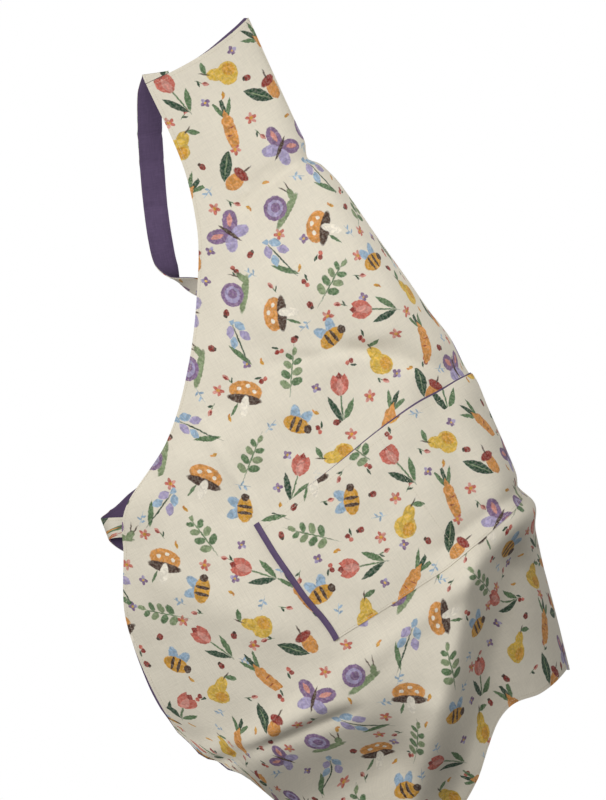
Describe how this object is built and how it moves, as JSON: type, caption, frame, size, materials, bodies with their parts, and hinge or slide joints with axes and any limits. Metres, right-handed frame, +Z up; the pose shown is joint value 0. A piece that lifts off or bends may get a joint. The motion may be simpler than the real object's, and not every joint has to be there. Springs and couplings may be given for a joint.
{
  "type": "cross-back apron",
  "caption": "Lined cotton cross-back apron with a patterned front, shoulder straps that cross behind and a divided patch pocket, hanging from a corner of its bib.",
  "frame": {"origin": "the right corner of the bib, as seen from the front, by which the apron hangs", "axes": "+Z up as it hangs, -Y out of the patterned front, +X to the right as seen from the front"},
  "size_m": [0.6233, 0.4302, 1.0621],
  "materials": {
    "print_cotton": "matte plain-weave cotton with a small garden print",
    "plum_cotton": "matte plain-weave cotton"
  },
  "bodies": {
    "root": {"body_print": "print_cotton", "body_lining": "plum_cotton", "pocket_print": "print_cotton", "pocket_facing": "plum_cotton", "pocket_binding": "plum_cotton", "strap_left_print": "print_cotton", "strap_left_lining": "plum_cotton", "strap_right_print": "print_cotton", "strap_right_lining": "plum_cotton"}
  },
  "joints": []
}
